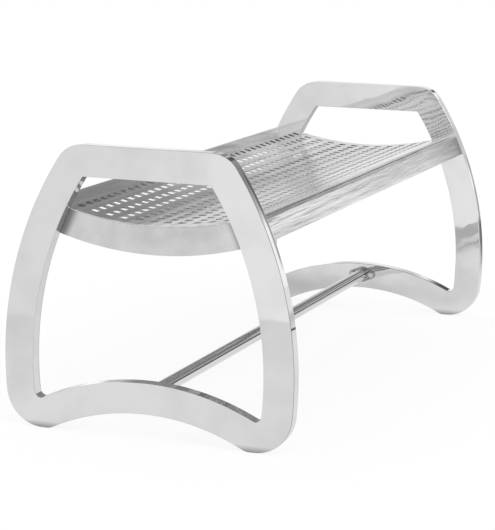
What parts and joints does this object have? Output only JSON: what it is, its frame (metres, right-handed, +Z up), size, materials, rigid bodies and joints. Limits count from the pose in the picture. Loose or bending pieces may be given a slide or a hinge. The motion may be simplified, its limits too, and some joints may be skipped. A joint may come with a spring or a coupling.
{
  "type": "bench",
  "caption": "Free-standing steel bench: polished hollow loop frames at both ends carry a dished perforated seat and a low stretcher tube.",
  "frame": {"origin": "on the floor, below the middle of the bench", "axes": "+X along the bench to its right end, +Y from the front to the rear, +Z up"},
  "size_m": [1.4, 0.627, 0.585],
  "materials": {
    "polished_steel": null,
    "brushed_steel": "satin stainless steel, brushed along the bench",
    "backing_steel": "mill finish, hidden inside the frames",
    "fastener_steel": "turned and bright"
  },
  "bodies": {
    "root": {"front_seat_rail": "brushed_steel", "left_arch_backing_plate": "backing_steel", "left_flange_screws": "fastener_steel", "left_frame_inner_skin": "polished_steel", "left_frame_opening_band": "polished_steel", "left_frame_outer_skin": "polished_steel", "left_frame_rim_band": "polished_steel", "left_front_leg_backing_plate": "backing_steel", "left_rear_leg_backing_plate": "backing_steel", "left_seat_bolts": "fastener_steel", "left_seat_end_plate": "brushed_steel", "left_seat_washers": "fastener_steel", "left_stretcher_flange": "polished_steel", "rear_seat_rail": "brushed_steel", "right_arch_backing_plate": "backing_steel", "right_flange_screws": "fastener_steel", "right_frame_inner_skin": "polished_steel", "right_frame_opening_band": "polished_steel", "right_frame_outer_skin": "polished_steel", "right_frame_rim_band": "polished_steel", "right_front_leg_backing_plate": "backing_steel", "right_rear_leg_backing_plate": "backing_steel", "right_seat_bolts": "fastener_steel", "right_seat_end_plate": "brushed_steel", "right_seat_washers": "fastener_steel", "right_stretcher_flange": "polished_steel", "seat_pan": "brushed_steel", "stretcher_tube": "polished_steel"}
  },
  "joints": []
}
